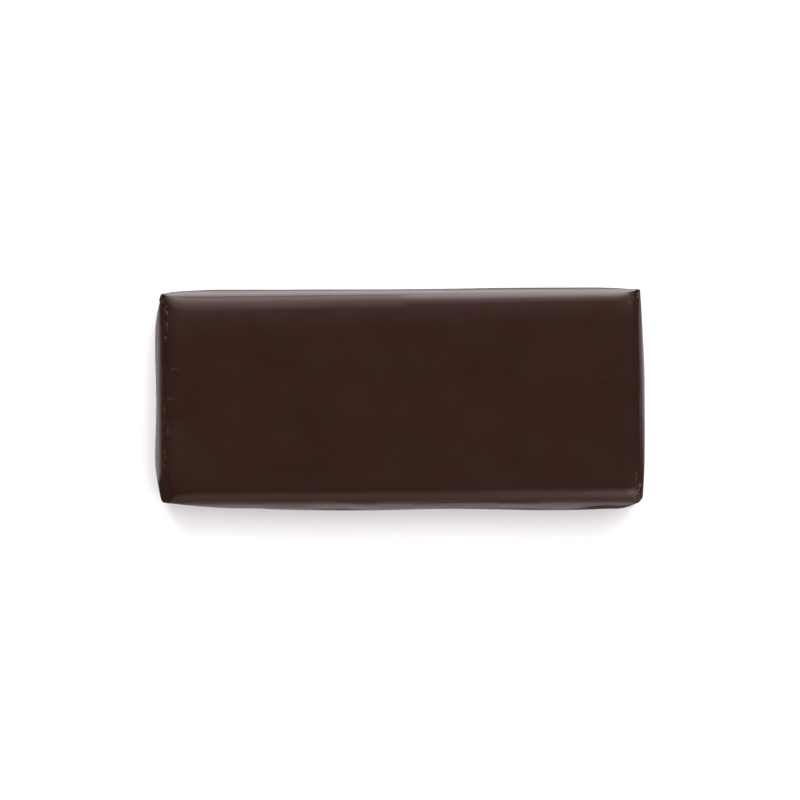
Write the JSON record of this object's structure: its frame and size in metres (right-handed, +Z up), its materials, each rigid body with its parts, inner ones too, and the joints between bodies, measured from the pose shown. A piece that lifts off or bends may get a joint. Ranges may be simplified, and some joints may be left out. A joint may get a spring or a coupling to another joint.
{
  "type": "filled chocolate",
  "caption": "Bar-shaped filled chocolate in a smooth dark chocolate coat, with rounded top edges, gently bellied walls and a flat base to rest on.",
  "frame": {"origin": "on the flat base, under the middle of the bar", "axes": "+X along the bar's length, +Y across it towards its back, +Z up through its height"},
  "size_m": [0.0366, 0.0166, 0.011],
  "materials": {
    "dark_chocolate": "satin sheen of set dark chocolate, smooth on the flats, with fine pits and crumbs along two of its edges"
  },
  "bodies": {
    "root": {"coated_bar": "dark_chocolate"}
  },
  "joints": []
}
